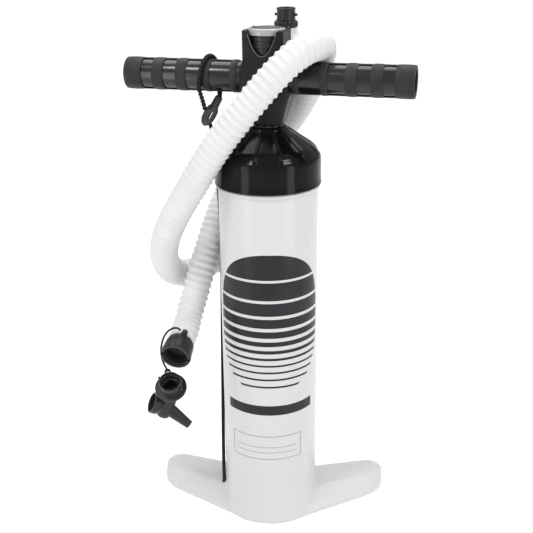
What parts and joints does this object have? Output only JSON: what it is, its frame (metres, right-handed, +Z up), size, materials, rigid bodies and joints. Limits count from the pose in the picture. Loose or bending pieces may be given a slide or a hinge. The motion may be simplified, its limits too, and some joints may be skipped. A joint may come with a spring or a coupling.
{
  "type": "hand air pump",
  "caption": "Stand-up manual air pump: white barrel on a swept foot, black ribbed cap, T handle with a pressure gauge, corrugated hose with bayonet ends and adapters, elastic leash.",
  "frame": {"origin": "centre of the sole, on the pump axis where it meets the floor", "axes": "+Z up along the pump axis, X along the span of the foot, +Y towards the swept-back tips of the foot (the back of the pump)"},
  "size_m": [0.3134, 0.201, 0.585],
  "materials": {
    "white_moulding": "semi-gloss white moulding",
    "hose_white": "satin white flexible plastic",
    "black_gloss": "polished black",
    "black_matt": "satin black",
    "rubber": "matt black rubber",
    "cord": "black woven cover",
    "steel": "brushed",
    "alloy": "anodised",
    "clear": "clear",
    "dial": "white",
    "needle": "red"
  },
  "bodies": {
    "barrel_body": {"barrel": "white_moulding", "barrel_cap": "black_gloss", "cap_seal": "rubber", "rod_guide": "black_matt", "rod_wiper": "rubber", "leash_cord": "cord", "leash_knot": "cord"},
    "plunger": {"pump_rod": "alloy", "piston": "black_matt", "piston_cup": "rubber", "piston_nut": "steel", "stop_buffer": "rubber", "handle_hub": "black_gloss", "rod_screw": "steel", "grip_tube_left": "black_gloss", "grip_tube_right": "black_gloss", "grip_sleeve_left": "rubber", "grip_sleeve_right": "rubber", "gauge_body": "black_matt", "gauge_dial": "dial", "gauge_lens": "clear", "gauge_screw_1": "steel", "gauge_screw_2": "steel", "gauge_screw_3": "steel", "gauge_screw_4": "steel", "outlet_socket": "black_matt", "outlet_o_ring": "rubber", "hose": "hose_white", "plug_cuff": "hose_white", "hose_plug": "black_matt", "plug_collar": "black_matt", "connector_cuff": "hose_white", "hose_connector": "black_matt", "adapter_stub": "black_matt", "adapter_tee": "black_matt", "tether_strap": "rubber", "leash_loop": "cord", "leash_hook": "black_matt"},
    "intake_valve": {"intake_flap": "rubber"},
    "outlet_valve": {"outlet_valve_disc": "rubber"},
    "needle": {"gauge_needle": "needle"}
  },
  "joints": [
    {"name": "pump_stroke", "type": "slide", "parent": "barrel_body", "child": "plunger", "axis": [0, 0, 1], "range_m": [0, 0.343], "deforming": ["leash_cord"]},
    {"name": "intake_valve_lift", "type": "slide", "parent": "plunger", "child": "intake_valve", "axis": [0, 0, -1], "range_m": [0, 0.002], "stiffness_N_per_m": 50, "springref_m": -0.002},
    {"name": "outlet_valve_lift", "type": "slide", "parent": "plunger", "child": "outlet_valve", "axis": [0.1874, 0.9823, 0], "range_m": [0, 0.003], "stiffness_N_per_m": 20, "springref_m": -0.002},
    {"name": "gauge_needle_turn", "type": "hinge", "parent": "plunger", "child": "needle", "pos_m": [0, 0, 0.5604], "axis": [0, 0, -1], "range_deg": [0, 270], "stiffness_Nm_per_rad": 0.0005, "springref_deg": -17.19}
  ]
}
